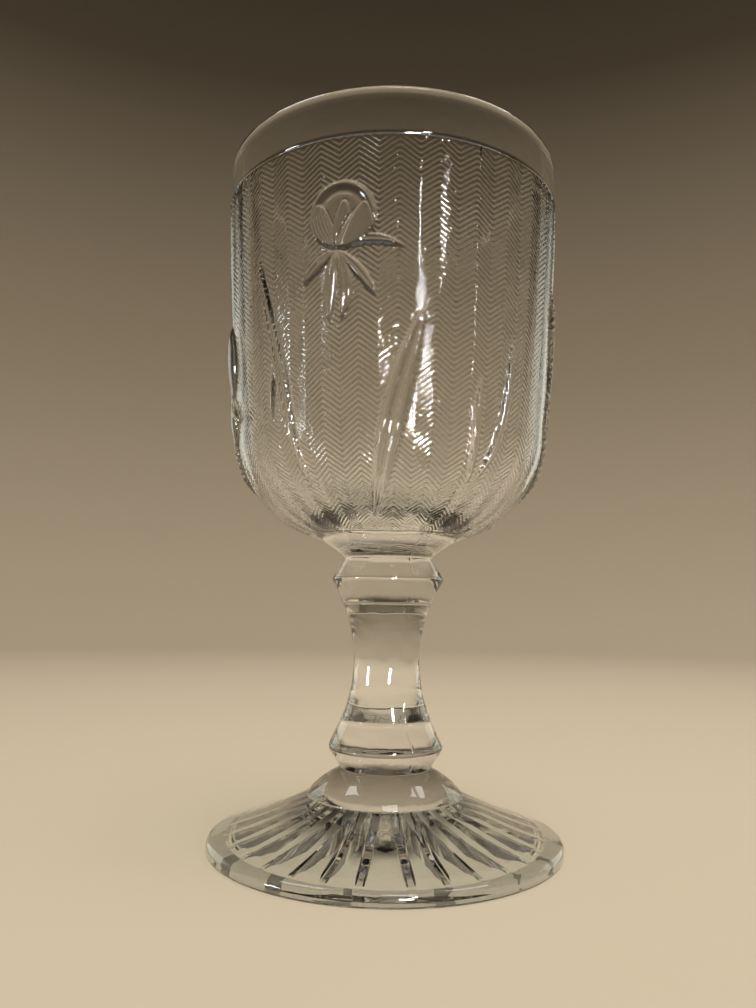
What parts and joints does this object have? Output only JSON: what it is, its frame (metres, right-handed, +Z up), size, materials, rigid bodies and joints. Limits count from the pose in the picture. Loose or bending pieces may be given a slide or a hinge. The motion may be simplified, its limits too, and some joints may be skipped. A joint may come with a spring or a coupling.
{
  "type": "stemmed wine glass",
  "caption": "Small stemmed wine glass of clear pressed glass: herringbone bowl with raised flowers, knopped stem and rayed foot.",
  "frame": {"origin": "centre of the circle that the foot stands on, at the table surface", "axes": "+Z up along the axis of the stem, -Y towards the front of the bowl, +X to the right seen from the front"},
  "size_m": [0.0576, 0.0576, 0.1143],
  "materials": {
    "clear_glass": "clear pressed soda-lime glass with a faint grey-green cast at thick edges"
  },
  "bodies": {
    "root": {"foot_plate": "clear_glass", "foot_dome": "clear_glass", "lower_knop": "clear_glass", "shank": "clear_glass", "upper_knop": "clear_glass", "collar": "clear_glass", "bowl": "clear_glass", "flower_1": "clear_glass", "flower_2": "clear_glass", "flower_3": "clear_glass", "leaves_1": "clear_glass", "leaves_2": "clear_glass", "leaves_3": "clear_glass"}
  },
  "joints": []
}
